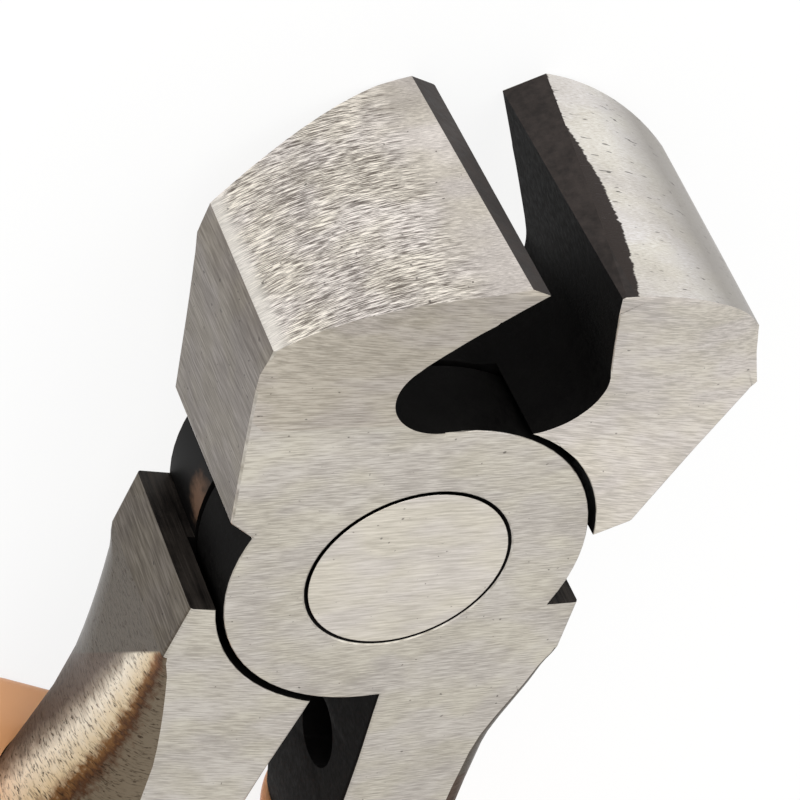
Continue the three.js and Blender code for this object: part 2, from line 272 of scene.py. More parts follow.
def scaled_steel(name, tones, rough, metallic, grain_mm, depth_um, sheen):
    """Oxide scale: cloudy noise in two tones with fine grain in the bump. Sheen is its reflection."""
    material, tree, shader = start(name, Metallic=metallic, Specular_IOR_Level=sheen)
    place = own_place(tree, "front")
    cloud = strokes(tree, place, (1.6, 1.6, 1.6), 5.0)
    grain = strokes(tree, place, grain_mm, 3.0)
    both = add(tree, "ShaderNodeMix", {"data_type": "FLOAT"}, _0=0.5, _2=(cloud, "Fac"), _3=(grain, "Fac"))
    tone = ramp(tree, (both, 0), list(zip((0.38, 0.66), tones)))
    gloss = add(tree, "ShaderNodeMapRange", Value=(grain, "Fac"), From_Min=0.3, From_Max=0.7,
                To_Min=rough - 0.08, To_Max=rough + 0.08)
    bump = add(tree, "ShaderNodeBump", Strength=0.7, Distance=depth_um * 1e-6, Height=(grain, "Fac"))
    feed(tree, shader, Base_Color=(tone, "Color"), Roughness=(gloss, "Result"), Normal=(bump, "Normal"))
    return material


RUBBED_SPOT = (7.0, -1.0, 3.9)  # own place on the rim, in millimetres
black_scale = scaled_steel("black_forging_scale", ("#060505", "#121110"), 0.7, 0.0, (0.25,) * 3, 20, 0.07)
dark_bevel = scaled_steel("blackened_bevel", ("#241f1d", "#3c3532"), 0.5, 0.4, (0.3,) * 3, 20, 0.22)
# The sawn cut's near black is painted shade under the joint; its saw lines are grain.
shaded_sawn_cut = scaled_steel("sawn_cut_with_painted_shade", ("#0a0808", "#38332f"), 0.5, 0.3, (0.12, 0.12, 2.5), 40, 0.12)


def browned_rim(name, side):
    """Scale with a rubbed brown spot beside the lap: brown within a millimetre of one place on the rim."""
    material, tree, shader = start(name, Specular_IOR_Level=0.12, Roughness=0.55)
    place = own_place(tree, side)
    off = add(tree, "ShaderNodeVectorMath", {"operation": "DISTANCE"}, _0=(place, "Vector"), _1=RUBBED_SPOT)
    grain = strokes(tree, place, (0.5, 0.5, 0.7), 4.0)
    uneven = add(tree, "ShaderNodeMath", {"operation": "MULTIPLY_ADD"}, _0=(grain, "Fac"), _1=1.6,
                 _2=(off, "Value"))
    spot = add(tree, "ShaderNodeMapRange", Value=(uneven, "Value"), From_Min=1.2, From_Max=2.2)
    tone = ramp(tree, (spot, "Result"), [
        (0.0, "#5f4839"), (0.4, "#3f2f24"), (0.75, "#120e0c"), (1.0, "#060505")])
    feed(tree, shader, Base_Color=(tone, "Color"))
    return material


print("dark finishes ready")

# %% [markdown]
# ## The polished flank
#
# The outer flank of each handle is polished on a soft wheel, and short dark dashes run round the flank
# where the wheel dragged. A golden band along it is a painted highlight, a brown band a painted
# reflection, and the grey at its ends painted shade. Two straight lines in the own frame place the
# bands as exactly as a UV map, so a ramp between those lines gives them. Near the sleeve the metal is duller.

# %% Polished flank
# The shoulder facet's darker tones are painted shade.
SHOULDER_PAINTED_SHADE_TONES = ("#4e473f", "#5f584f", "#736c63")
# Golden is a painted highlight and brown a painted reflection; the grey ends are painted shade.
PAINTED_REFLECTION_TINTS = [
    (0.22, "#796d5c"), (0.28, "#553a29"), (0.33, "#7f5c3a"), (0.39, "#d8c5a4"),
    (0.55, "#eee4d2"), (0.66, "#978b7d"), (0.75, "#665950"), (0.93, "#5a4c42")]
DASH_COLOUR = "#3a2d22"
DULL_FROM, DULL_TO = -10.0, -15.0   # own y, in millimetres


def polished_flank(name, side):
    """Painted highlight, painted reflection and painted shade in bands between two lines on the flank. The
    brown line is at own z = -0.3 - 0.127 own y and the fading line at own z = 0.34 - 0.25 own y, so the share
    of the way from one to the other is (z + 0.3 + 0.127 y) divided by (0.64 - 0.123 y). Above own y = -4.87 -
    1.126 own z the ground shoulder runs out."""
    material, tree, shader = start(name, Metallic=1.0)
    place = own_place(tree, side)
    own = add(tree, "ShaderNodeSeparateXYZ", Vector=(place, "Vector"))
    over = add(tree, "ShaderNodeMath", {"operation": "MULTIPLY_ADD"}, _0=(own, "Y"), _1=0.127, _2=(own, "Z"))
    wide = add(tree, "ShaderNodeMath", {"operation": "MULTIPLY_ADD"}, _0=(own, "Y"), _1=-0.123, _2=0.64)
    from_brown = add(tree, "ShaderNodeMath", {"operation": "ADD"}, _0=(over, "Value"), _1=0.3)
    way = add(tree, "ShaderNodeMath", {"operation": "DIVIDE"}, _0=(from_brown, "Value"), _1=(wide, "Value"))
    wander = strokes(tree, place, (0.2, 0.35, 0.9), 4.0)
    moved = add(tree, "ShaderNodeMath", {"operation": "MULTIPLY_ADD"}, _0=(wander, "Fac"), _1=0.5,
                _2=(way, "Value"))
    band = add(tree, "ShaderNodeMapRange", Value=(moved, "Value"), From_Min=-0.75, From_Max=2.25)
    # The ramp paints highlight, reflection and shade onto the flank.
    tone = ramp(tree, (band, "Result"), PAINTED_REFLECTION_TINTS)
    shoulder = add(tree, "ShaderNodeMath", {"operation": "MULTIPLY_ADD"}, _0=(own, "Z"), _1=1.126,
                   _2=(own, "Y"))
    reach = add(tree, "ShaderNodeMapRange", Value=(shoulder, "Value"), From_Min=-4.95, From_Max=-4.8)
    lines = strokes(tree, place, (0.4, 0.09, 0.4), 4.0)
    ground = ramp(tree, (lines, "Fac"), list(zip((0.36, 0.5, 0.64), SHOULDER_PAINTED_SHADE_TONES)))
    zones = add(tree, "ShaderNodeMix", {"data_type": "RGBA"}, _0=(reach, "Result"), _6=(tone, "Color"),
                _7=(ground, "Color"))
    flecks = strokes(tree, place, (0.32, 0.13, 0.32), 2.0)
    dash = add(tree, "ShaderNodeMapRange", Value=(lines, "Fac"), From_Min=0.52, From_Max=0.68, To_Max=0.75)
    fleck = add(tree, "ShaderNodeMapRange", Value=(flecks, "Fac"), From_Min=0.61, From_Max=0.68, To_Max=0.85)
    mark = add(tree, "ShaderNodeMath", {"operation": "MAXIMUM"}, _0=(dash, "Result"), _1=(fleck, "Result"))
    colour = add(tree, "ShaderNodeMix", {"data_type": "RGBA"}, _0=(mark, "Value"), _6=(zones, 2),
                 _7=linear(DASH_COLOUR))
    dull = add(tree, "ShaderNodeMapRange", Value=(own, "Y"), From_Min=DULL_FROM, From_Max=DULL_TO,
               To_Min=0.22, To_Max=0.62)
    gloss = add(tree, "ShaderNodeMath", {"operation": "MULTIPLY_ADD"}, _0=(lines, "Fac"), _1=0.2,
                _2=(dull, "Result"))
    bump = add(tree, "ShaderNodeBump", {"invert": True}, Strength=0.6, Distance=20e-6, Height=(lines, "Fac"))
    feed(tree, shader, Base_Color=(colour, 2), Roughness=(gloss, "Value"), Normal=(bump, "Normal"))
    return material


print("flank tints", len(PAINTED_REFLECTION_TINTS))

# %% [markdown]
# ## Scale beside the bevel
#
# On the right jaw the grinding wheel stopped short of the bevel, so some scale is left on the crown up to
# a ragged line. It could be a cut in the mesh, but the line has no height, so it is a mask in the material.

# %% Ragged scale
SCALE_COLOUR = "#38312e"
SCALE_MIDDLE, SCALE_HALF, SCALE_BULGE = 1.2, 5.2, 0.75   # own z, half length and reach, in millimetres


def ragged_scale(material, side):
    """Scale left on a crown beside the bevel, up to a ragged line. The bevel's top is at own x = -0.41 -
    0.1065 own z. The line lies SCALE_BULGE (1 - ((own z - SCALE_MIDDLE) / SCALE_HALF) squared) further out,
    or on it where that is negative."""
    tree = material.node_tree
    shader = tree.nodes["Principled BSDF"]
    place = own_place(tree, side)
    own = add(tree, "ShaderNodeSeparateXYZ", Vector=(place, "Vector"))
    edge = add(tree, "ShaderNodeMath", {"operation": "MULTIPLY_ADD"}, _0=(own, "Z"), _1=0.1065, _2=(own, "X"))
    way = add(tree, "ShaderNodeMapRange", {"clamp": False}, Value=(own, "Z"), From_Min=SCALE_MIDDLE,
              From_Max=SCALE_MIDDLE + SCALE_HALF)
    square = add(tree, "ShaderNodeMath", {"operation": "MULTIPLY"}, _0=(way, "Result"), _1=(way, "Result"))
    bulge = add(tree, "ShaderNodeMapRange", Value=(square, "Value"), To_Min=SCALE_BULGE, To_Max=0.0)
    reach = add(tree, "ShaderNodeMath", {"operation": "ADD"}, _0=(edge, "Value"), _1=(bulge, "Result"))
    teeth = strokes(tree, place, (0.4, 0.4, 0.14), 4.0)
    rag = add(tree, "ShaderNodeMath", {"operation": "MULTIPLY_ADD"}, _0=(teeth, "Fac"), _1=0.4,
              _2=(reach, "Value"))
    dark = add(tree, "ShaderNodeMapRange", Value=(rag, "Value"), From_Min=-0.24, From_Max=-0.18)
    steel = shader.inputs["Base Color"].links[0].from_socket
    colour = add(tree, "ShaderNodeMix", {"data_type": "RGBA"}, _0=(dark, "Result"), _7=linear(SCALE_COLOUR))
    tree.links.new(steel, colour.inputs[6])
    feed(tree, shader, Base_Color=(colour, 2))


print("scale reaches", SCALE_BULGE, "mm past the bevel")

# %% [markdown]
# ## All finishes of a lever
#
# One forging carries many finishes. Their tones also hold painted light: the side and shoulder facets are
# darker as painted shade, the rear jaw's flare and crown are lighter as painted light, the crowns' lightest
# scratches are partly painted glints, the front crown's band is a painted highlight and the rear crown's band
# painted shade. Each finish could be a copy of one material with other numbers. Here one table of tones and
# one function make them, so the whole lever is seen at once.

# %% Lever finishes
FACE_SPREAD, CROWN_SPREAD, CROWN_CLOUDS = 0.09, 0.09, 0.14
FACE_TONES = ("#a9a49c", "#bdb8af", "#cdc9c0")
# The rear flare's lighter tones are painted light.
FLARE_PAINTED_LIGHT_TONES = {"front": ("#a39d93", "#b7b0a6", "#c8c2b8"), "rear": ("#bab5ad", "#cfc9c1", "#e0dbd3")}
# The side facets' darker tones are painted shade.
SIDE_PAINTED_SHADE_TONES = ("#736d67", "#837d76", "#948e87")
WORN_TONES = ("#a39e95", "#bdb8af", "#d2cec6")
# The rear crown's lighter tones are painted light, and the lightest scratches are partly painted glints.
CROWN_GRAIN_AND_PAINTED_LIGHT_TONES = {"front": ("#756e68", "#c1bbb4", "#fff9f1"), "rear": ("#a39d96", "#d9d5ce", "#ffffff")}
CROWN_SLANT = {"front": 0.2, "rear": 0.0}
CROWN_CALM = {"front": (-3.4, -1.6), "rear": (-12.0, -10.0)}
CROWN_PITS = {"front": (0.7, 0.24, 0.24, 0.745), "rear": (0.8, 0.6, 0.1, 0.69)}
DEEP_PITS = (0.85, 0.24, 0.24, 0.71)
# The front band is a painted highlight along the edge, the rear band painted shade on the outer crown.
CROWN_PAINTED_LIGHT_BAND = {"front": (-7.7, -8.0, 0.7, "#e6e1d9"), "rear": (-2.6, -5.2, 0.85, "#8b857e")}


def lever_finishes(side):
    """All finishes of one lever. Faces are ground across the lever, crowns round the head."""
    return {
        "face": ground_steel(side + "_belt_ground_face", side, FACE_TONES, (0.9, 0.06, 0.5), 0.42, 10,
                             spread=FACE_SPREAD),
        "flare": ground_steel(side + "_belt_ground_flare", side, FLARE_PAINTED_LIGHT_TONES[side], (0.9, 0.06, 0.09), 0.42,
                              10, spread=FACE_SPREAD),
        "crown": ground_steel(side + "_wheel_ground_crown", side, CROWN_GRAIN_AND_PAINTED_LIGHT_TONES[side], (0.48, 0.48, 0.034),
                              0.38, 30, CROWN_PITS[side], CROWN_CALM[side], CROWN_PAINTED_LIGHT_BAND[side], CROWN_SPREAD,
                              CROWN_SLANT[side], CROWN_CLOUDS),
        "side": ground_steel(side + "_belt_ground_side", side, SIDE_PAINTED_SHADE_TONES, (0.5, 0.09, 1.3), 0.45, 12,
                             DEEP_PITS),
        "shoulder": ground_steel(side + "_ground_shoulder", side, SHOULDER_PAINTED_SHADE_TONES, (0.5, 0.12, 1.6), 0.42, 14,
                                 DEEP_PITS),
        "flank": polished_flank(side + "_polished_flank", side),
        "worn": ground_steel(side + "_worn_edge", side, WORN_TONES, (0.5, 0.5, 0.5), 0.36, 8),
        "bevel": dark_bevel,
        "sawn": shaded_sawn_cut,
        "rim": browned_rim(side + "_browned_rim", side),
        "scale": black_scale,
    }


print("tones ready")

# %% [markdown]
# ## The steel levers
#
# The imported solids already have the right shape, but their edges are knife sharp and their triangles are
# loose. A copy of each lever is merged, and its flat areas are joined to single faces. The shape could be
# built anew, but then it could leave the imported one.

# %% Merged copies of the solids
MERGE_DISTANCE = 0.012          # millimetres
FLAT_DEGREES = 0.4


def merged_copy(node, name):
    """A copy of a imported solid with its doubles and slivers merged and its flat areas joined."""
    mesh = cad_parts[node].data.copy()
    mesh.name = name
    work = bmesh.new()
    work.from_mesh(mesh)
    bmesh.ops.remove_doubles(work, verts=work.verts, dist=MERGE_DISTANCE * MM)
    bmesh.ops.dissolve_degenerate(work, edges=work.edges, dist=MERGE_DISTANCE * MM)
    bmesh.ops.dissolve_limit(work, angle_limit=math.radians(FLAT_DEGREES), verts=work.verts, edges=work.edges,
                             delimit={"NORMAL"})
    work.to_mesh(mesh)
    work.free()
    mesh.materials.clear()
    piece = bpy.data.objects.new(name, mesh)
    bpy.context.collection.objects.link(piece)
    print(name, len(mesh.vertices), "points", len(mesh.polygons), "faces")
    return piece


def face_arrays(mesh):
    """Centres and normals of all faces as arrays of rows."""
    centre = np.empty(len(mesh.polygons) * 3)
    normal = np.empty(len(mesh.polygons) * 3)
    mesh.polygons.foreach_get("center", centre)
    mesh.polygons.foreach_get("normal", normal)
    return centre.reshape(-1, 3), normal.reshape(-1, 3)


print("merging within", MERGE_DISTANCE, "mm")

# %% [markdown]
# ## Which finish goes where
#
# On the real lever a wheel reached some surfaces and missed others. A face could be picked by its number, but
# the numbers change with every pack. Its place and direction in the lever's own frame tell a crown from
# a bevel or a throat each time, so rules on those sort all faces at once.

# %% Sort the faces by finish


def sort_faces(mesh, side):
    """The finish of each face: later rules win over earlier ones. All limits are own millimetres, read from
    the lever's sections: the shoulder is at y = -2.4, the rim at radius 7.05, the crown above y = 9."""
    centre, normal = face_arrays(mesh)
    x, y, z = to_own(centre / MM, side).T
    nx, ny, nz = (normal @ own_matrix(side).T).T
    radius = np.hypot(x, y)
    outside = np.abs(z - JOINT_THICKNESS / 2) > 2.4
    flat = np.abs(nz) > 0.72
    handle = y < -2.4
    zone = np.full(len(x), "scale", dtype="<U8")
    zone[(radius > 6.6) & (radius < 7.6) & ~flat & (x > 5.0) & (y > -2.5) & (y < 1.5)] = "rim"
    zone[flat & outside] = "face"
    zone[flat & outside & (y > 7.5)] = "flare"
    zone[flat & outside & (y > 0) & (radius > 7.2) & (side == "rear")] = "flare"
    zone[~flat & (x < -5.5) & (nx < -0.3) & (y > 2.5)] = "side"
    zone[~flat & (ny > 0.45) & (y > 9.0) & (x < -0.5)] = "crown"
    zone[~flat & (ny > 0.2) & ((nx > 0.2) | (x > -0.5)) & (y > 12.5)] = "bevel"
    zone[~flat & (y < -2.2) & (y > -3.2) & (ny > 0.6) & (x > 2.0)] = "sawn"
    zone[handle & (nx > 0.05) & (np.abs(nz) < 0.998) & (x > 3.0) & (y < -5.3)] = "flank"
    zone[~flat & handle & (nx > 0.3) & (y >= -5.3) & (x > 7.0)] = "shoulder"
    return zone


print("rules ready")

# %% [markdown]
# ## Broken edges
#
# Handling and a last rub on the belt break every sharp edge beside ground metal and leave it bright. The
# cutting edges and the black cuts stay sharp. A bevel on all edges would round those too, so each edge gets
# a weight from the finishes on its two sides, and a Bevel modifier reads the weights.

# %% Edge weights
SHORT_EDGE = 0.15               # millimetres
BRIGHT_BREAK, DARK_BREAK = 0.3, 0.16


def mark_edges(mesh, zone, sharp_degrees):
    """Bevel weight of each edge: full between crown and side, part beside other ground metal, none at the
    crown's other edges and on the flank. An edge that ends among very short ones has no room for a bevel."""
    work = bmesh.new()
    work.from_mesh(mesh)
    work.faces.ensure_lookup_table()
    pairs = [tuple(face.index for face in edge.link_faces) for edge in work.edges]
    turn = np.array([edge.calc_face_angle(0.0) for edge in work.edges])
    length = np.array([edge.calc_length() for edge in work.edges])
    ends = np.array([[point.index for point in edge.verts] for edge in work.edges])
    crowded = np.zeros(len(work.verts), dtype=bool)
    crowded[ends[length < SHORT_EDGE * MM].ravel()] = True
    work.free()
    one, two = np.array([pair if len(pair) == 2 else (0, 0) for pair in pairs]).T
    bright = np.isin(zone, ["face", "flare", "crown", "side", "shoulder", "flank"])
    outer = np.isin(zone, ["crown", "side"])
    wide = (zone[one] != zone[two]) & outer[one] & outer[two]
    weight = np.where(bright[one] | bright[two], DARK_BREAK, 0.0)
    weight = np.where(bright[one] & bright[two], BRIGHT_BREAK, weight)
    bare = np.isin(zone, ["flank", "crown"])
    weight = np.where(bare[one] | bare[two], 0.0, weight)
    weight = np.where(wide, 1.0, weight) * (turn > math.radians(sharp_degrees)) * ~crowded[ends].any(axis=1)
    mark = mesh.attributes.new("bevel_weight_edge", "FLOAT", "EDGE")
    mark.data.foreach_set("value", weight.astype(np.float32))
    return int((weight > 0).sum())


print("breaks", BRIGHT_BREAK, DARK_BREAK, "of the widest")

# %% [markdown]
# ## Finished levers
#
# On the bench a lever is forged, ground, polished and then handled. The same order holds here: a merged copy
# gets its finishes, then its broken edges, then its shading. The breaks could be cut into the mesh, but
# a modifier leaves the copy's own faces as they are, and a second one after it keeps flat faces flat.

# %% Finished levers
WIDEST_BREAK = 0.26             # millimetres, along the crown's outer edge
SHARP_DEGREES = 26

for side in ("front", "rear"):
    lever = merged_copy(side + "_lever", side + "_lever_finished")
    zone = sort_faces(lever.data, side)
    finishes = lever_finishes(side)
    if side == "rear":
        ragged_scale(finishes["crown"], side)
    names = list(finishes)
    for name in names:
        lever.data.materials.append(finishes[name])
    index = np.array([names.index(each) for each in zone], dtype=np.int32)
    lever.data.polygons.foreach_set("material_index", index)
    marked = mark_edges(lever.data, zone, SHARP_DEGREES)
    lever.data.shade_smooth()
    lever.data.set_sharp_from_angle(angle=math.radians(SHARP_DEGREES))
    broken = lever.modifiers.new("broken_edges", "BEVEL")
    broken.width = WIDEST_BREAK * MM
    broken.segments = 2
    broken.limit_method = "WEIGHT"
    broken.use_clamp_overlap = False
    broken.material = names.index("worn")
    even = lever.modifiers.new("even_shading", "WEIGHTED_NORMAL")
    even.keep_sharp = True
    even.weight = 50
    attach(lever, side)
    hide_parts(side + "_lever")
    print(lever.name, marked, "broken edges", {each: int((zone == each).sum()) for each in names})

# %% [markdown]
# ## The rivet
#
# The rivet is spread into its seats and ground flush with the plates, so only two round faces show, each
# inside a thin dark ring. It is merged like the levers, and its rims are broken by a twentieth of
# a millimetre. Its seats are as black as the joint.

# %% Rivet
RIVET_TONES = ("#b9b4ab", "#ccc7be", "#dcd7ce")
RIVET_BREAK = 0.05              # millimetres
rivet = merged_copy("pivot_rivet", "pivot_rivet_finished")
rivet.data.materials.append(
    ground_steel("ground_rivet_face", "front", RIVET_TONES, (1.3, 0.1, 0.5), 0.42, 10))
rivet.data.materials.append(black_scale)
centre, normal = face_arrays(rivet.data)
rivet.data.polygons.foreach_set("material_index", (np.abs(normal[:, 2]) < 0.9).astype(np.int32))
rivet.data.shade_smooth()
rivet.data.set_sharp_from_angle(angle=math.radians(SHARP_DEGREES))
rim = rivet.modifiers.new("broken_rims", "BEVEL")
rim.width = RIVET_BREAK * MM
rim.segments = 2
rim.limit_method = "ANGLE"
rim.angle_limit = math.radians(SHARP_DEGREES)
rim.use_clamp_overlap = False
rim.harden_normals = True
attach(rivet, "front")
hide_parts("pivot_rivet")

# %% [markdown]
# ## Vinyl
#
# The sleeves are dipped: the warm handle goes into liquid vinyl and comes out with a skin. That gives
# a smooth, slightly wavy surface with a soft sheen and an even colour all through. The colour comes from
# the vinyl itself, so the material only adds slow waves, a fine skin and a little handling dirt.

# %% Vinyl
vinyl, tree, shader = start("dipped_orange_vinyl", IOR=1.53)
place = own_place(tree, "front")
waves = strokes(tree, place, (6.0, 9.0, 6.0), 2.0)
skin = strokes(tree, place, (0.5, 0.5, 0.5), 2.0)
dirt = strokes(tree, place, (3.0, 5.0, 3.0), 5.0)
tone = ramp(tree, (waves, "Fac"), [(0.35, "#ecac78"), (0.65, "#f1b686")])
soil = add(tree, "ShaderNodeMapRange", Value=(dirt, "Fac"), From_Min=0.52, From_Max=0.76, To_Max=0.24)
colour = add(tree, "ShaderNodeMix", {"data_type": "RGBA"}, _0=(soil, "Result"), _6=(tone, "Color"),
             _7=linear("#b98754"))
height = add(tree, "ShaderNodeMix", {"data_type": "FLOAT"}, _0=0.1, _2=(waves, "Fac"), _3=(skin, "Fac"))
bump = add(tree, "ShaderNodeBump", Strength=0.5, Distance=0.15 * MM, Height=(height, 0))
gloss = add(tree, "ShaderNodeMapRange", Value=(dirt, "Fac"), From_Min=0.3, From_Max=0.7,
            To_Min=0.27, To_Max=0.45)
feed(tree, shader, Base_Color=(colour, 2), Roughness=(gloss, "Result"), Normal=(bump, "Normal"))
print("vinyl ready")

# %% [markdown]
# ## Dipped sleeves
#
# A sleeve is a skin of even wall on the bowed tang, with a thick rolled mouth where the vinyl ran back and
# a drip left at its end. The tool is dipped at a tilt, so one slanted line runs across both mouths. The skin
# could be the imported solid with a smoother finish, but that solid is coarse along its length. Here a rounded
# section is carried along the tang from the drip over the outside to the mouth, round the mouth, and back
# down the bore, so one closed surface has both the skin and the hole.

# %% The handles' sections
SECTION_AT = np.array([-2.6, -5.2, -6.2, -11.2, -18, -30, -62, -98])
RIGHT_HANDLE = {
    "inner": np.array([0.75, 0.75, 0.75, 0.95, 1.15, 5.2, 11.9, 11.2]),
    "outer": np.array([7.9, 7.95, 7.95, 7.3, 7.5, 10.6, 16.3, 14.8]),
    "depth": np.array([7, 7, 7, 7, 7, 5.6, 5, 4.4]),
    "inner_round": np.array([0.15, 0.15, 0.15, 0.2, 0.3, 1.5, 1.5, 1.5]),
    "outer_round": np.array([0.15, 0.2, 0.6, 1.4, 1.7, 1.5, 1.5, 1.5]),
    "outer_rise": np.array([0.15, 0.2, 1.7, 3.2, 3.3, 1.5, 1.5, 1.5]),
}
LEFT_HANDLE = RIGHT_HANDLE | {
    "outer": np.array([7.9, 7.95, 7.95, 8.0, 9.2, 10.6, 16.3, 14.8]),
    "outer_round": np.array([0.15, 0.2, 0.6, 2.1, 3.4, 1.5, 1.5, 1.5]),
}
CORNER_POINTS = 18
QUARTER = np.repeat(np.arange(4), CORNER_POINTS)
ANGLE = (QUARTER + np.tile(np.linspace(0, 1, CORNER_POINTS), 4)) * math.pi / 2
OUTWARD = np.array([1, -1, -1, 1])[QUARTER]
UPWARD = np.array([1, 1, -1, -1])[QUARTER]


def eased(at, values):
    """Cubic curves between the sections. The slope at a section is the harmonic mean of the rates on its two
    sides, or zero where they differ in sign, so the curve never overshoots."""
    rate = np.diff(values) / np.diff(SECTION_AT)
    product = rate[:-1] * rate[1:]
    total = np.where(product > 0, rate[:-1] + rate[1:], 1)
    slope = np.concatenate([rate[:1], np.where(product > 0, 2 * product / total, 0), rate[-1:]])
    at = np.maximum(at, SECTION_AT[-1])
    i = np.clip(np.searchsorted(-SECTION_AT, -at) - 1, 0, len(rate) - 1)
    span = SECTION_AT[i + 1] - SECTION_AT[i]
    t = (at - SECTION_AT[i]) / span
    share = 3 * t ** 2 - 2 * t ** 3
    leave = slope[i] * span * (t ** 3 - 2 * t ** 2 + t)
    arrive = slope[i + 1] * span * (t ** 3 - t ** 2)
    return values[i] * (1 - share) + values[i + 1] * share + leave + arrive


def section_rings(at, inner, outer, depth, inner_round, outer_round, outer_rise):
    """Rounded rectangles, one row per place. A corner is a quarter of an ellipse: centre plus radius times
    cosine sideways and radius times sine upwards."""
    across = np.minimum(np.where(OUTWARD > 0, outer_round, inner_round), (outer - inner) / 2 - 0.01)
    rise = np.minimum(np.where(OUTWARD > 0, outer_rise, inner_round), depth / 2 - 0.01)
    x = np.where(OUTWARD > 0, outer, inner) - OUTWARD * across + across * np.cos(ANGLE)
    z = JOINT_THICKNESS / 2 + UPWARD * (depth / 2 - rise) + rise * np.sin(ANGLE)
    return np.stack(np.broadcast_arrays(x, at, z), axis=2)


print("handle sections", len(SECTION_AT))

# %% [markdown]
# ## The sleeve's surface
#
# The outside is the handle's section with a wall round it, and the bore is the section with a hair of
# clearance. Both lean at the mouth. A loft in the modeller would do this section by section. Here all rings
# are worked out as one array, whose rows are places along the tang and whose columns go round it.

# %% Sleeve surface
MOUTH = {"right": (-24.4, -0.47, -0.5), "left": (-19.2, 0.29, 0.5)}     # place, slope across, slope through
SLOPE_REACH = 12.0
TANG_END = -98.0
SLEEVE_WALL, SLEEVE_CLEARANCE, SLEEVE_PARTING = 1.7, 0.3, 0.25
SLEEVE_CORNER, SLEEVE_DEPTH, SLEEVE_TIP, BORE_CLEARANCE = 3.6, 11.2, -99.8, 0.02
DOME_LENGTH, DRIP_LENGTH, DRIP_HALF = 5.0, 0.5, 0.9
DRIP_TIP = 0.35                 # half width of the drip's first ring to that of its last
BEAD_LENGTH, BEAD_RISE, LIP_ROUND = 3.2, 0.22, 0.9
WAVE_SHARE, WAVE_STEP = 0.25, 7.3   # slow waves of the skin, as a share of BEAD_RISE and in mm per radian
SLEEVE_SHARP_DEGREES = 50
RINGS = {"drip": 5, "dome": 13, "body": 90, "bead": 16, "lip": 9, "slope": 20, "bore": 54}


def lean(rings, mouth):
    """How far each point moves along the handle: the slopes times the distances from the section's middle,
    all of it at the mouth and none of it past SLOPE_REACH."""
    start, across, through = mouth
    share = np.clip(1 - (start - rings[:, :1, 1]) / SLOPE_REACH, 0, 1)
    middle = (rings[:, :, 0].min(axis=1) + rings[:, :, 0].max(axis=1))[:, None] / 2
    return share * (across * (rings[:, :, 0] - middle) + through * (rings[:, :, 2] - JOINT_THICKNESS / 2))


def sleeve_outside(handle, mouth, at, inset):
    """The handle's section with a wall round it, thinner where the handles nearly meet, drawn in by inset."""
    at, inset = at[:, None], inset[:, None]
    inner, outer = eased(at, handle["inner"]), eased(at, handle["outer"])
    wall = np.minimum(SLEEVE_WALL, inner - SLEEVE_CLEARANCE - SLEEVE_PARTING)
    corner = SLEEVE_CORNER - np.minimum(inset, SLEEVE_CORNER - 0.2)
    rings = section_rings(at, inner - SLEEVE_CLEARANCE - wall + inset,
                          outer + SLEEVE_CLEARANCE + SLEEVE_WALL - inset,
                          SLEEVE_DEPTH - 2 * inset, corner, corner, corner)
    rings[:, :, 1] += lean(rings, mouth)
    return rings


def sleeve_bore(handle, mouth, at):
    """The handle's section with a hair of clearance, taken where each point of the leaning ring lies."""
    for _ in range(2):
        size = {key: eased(at, values) + BORE_CLEARANCE for key, values in handle.items()}
        size["inner"] = size["inner"] - 2 * BORE_CLEARANCE
        size["depth"] = size["depth"] + BORE_CLEARANCE
        rings = section_rings(at, **size)
        at = at + lean(rings, mouth) if at.shape[1] == 1 else at
    return rings


def sleeve_grid(handle, mouth):
    """Rings from the drip to the mouth and back down the bore."""
    start = mouth[0]
    dome = SLEEVE_TIP + DRIP_LENGTH + DOME_LENGTH
    half = (handle["outer"][-1] - handle["inner"][-1]) / 2 + SLEEVE_CLEARANCE + SLEEVE_WALL
    drip = np.linspace(0, 1, RINGS["drip"])
    turn = np.linspace(math.pi / 2, 0, RINGS["dome"])
    body = np.linspace(dome, start - BEAD_LENGTH, RINGS["body"])[1:]
    bead = np.linspace(0, 1, RINGS["bead"])[1:]
    lip = np.linspace(math.pi / 2, 0, RINGS["lip"])[1:]
    places = np.concatenate([
        SLEEVE_TIP + DRIP_LENGTH * drip[:-1] ** 1.5,
        dome - DOME_LENGTH * np.sin(turn),
        body,
        start - BEAD_LENGTH + (BEAD_LENGTH - LIP_ROUND) * bead,
        start - LIP_ROUND * (1 - np.cos(lip)),
    ])
    insets = np.concatenate([
        half - DRIP_HALF * (DRIP_TIP + (1 - DRIP_TIP) * np.sqrt(drip[:-1])),
        BEAD_RISE + (half - DRIP_HALF - BEAD_RISE) * (1 - np.cos(turn)),
        BEAD_RISE * (1 + WAVE_SHARE * np.sin(body / WAVE_STEP)),
        BEAD_RISE * (1 - (3 * bead ** 2 - 2 * bead ** 3)),
        LIP_ROUND * (1 - np.sin(lip)),
    ])
    slope_end = start - SLOPE_REACH
    bore = np.concatenate([np.linspace(start, slope_end, RINGS["slope"]),
                           np.linspace(slope_end, TANG_END, RINGS["bore"])[1:],
                           [TANG_END - SLEEVE_CLEARANCE]])
    return np.concatenate([sleeve_outside(handle, mouth, places, insets),
                           sleeve_bore(handle, mouth, bore[:, None])])


